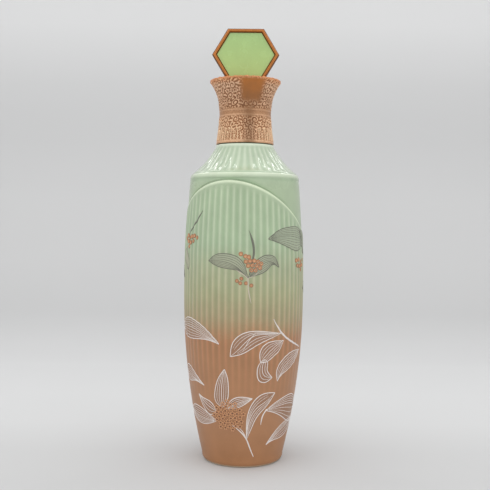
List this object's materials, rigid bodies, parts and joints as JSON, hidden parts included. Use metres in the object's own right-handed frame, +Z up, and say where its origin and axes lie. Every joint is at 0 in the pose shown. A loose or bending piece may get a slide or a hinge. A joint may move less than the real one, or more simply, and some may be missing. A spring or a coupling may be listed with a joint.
{
  "type": "sake bottle",
  "caption": "Tall round ceramic sake bottle with reeded sides, an embossed copper-coloured neck collar and a corked stopper topped by a hexagonal medallion.",
  "frame": {"origin": "centre of the foot ring's resting plane, on the bottle's axis", "axes": "+Z up along the bottle's axis; the front, with the medallion's face and the arch's crown, faces -Y; +X to the right seen from the front"},
  "size_m": [0.086, 0.086, 0.3062],
  "materials": {
    "porcelain": "celadon glaze above, satin terracotta coat below",
    "gasket_rubber": "matt",
    "liner_plastic": "moulded",
    "embossed_copper": "embossed, antiqued copper colour",
    "cap_copper": "satin copper colour",
    "plug_plastic": "moulded",
    "cork": "natural cork",
    "steel": "plain",
    "bezel_copper": "polished rose copper",
    "core_plastic": "moulded",
    "panel_green": "high gloss"
  },
  "bodies": {
    "bottle": {"bottle_body": "porcelain", "collar_gasket": "gasket_rubber", "collar_liner": "liner_plastic", "neck_collar": "embossed_copper"},
    "stopper": {"stopper_cap": "cap_copper", "lip_gasket": "gasket_rubber", "plug_core": "plug_plastic", "plug_cork": "cork", "plug_washer": "steel", "plug_screw": "steel", "bezel_front": "bezel_copper", "bezel_rear": "bezel_copper", "medallion_core": "core_plastic", "panel_front": "panel_green", "panel_rear": "panel_green", "medallion_pins": "steel"}
  },
  "joints": [
    {"name": "stopper_lift", "type": "slide", "parent": "bottle", "child": "stopper", "axis": [0, 0, 1], "range_m": [0, 0.045]}
  ]
}
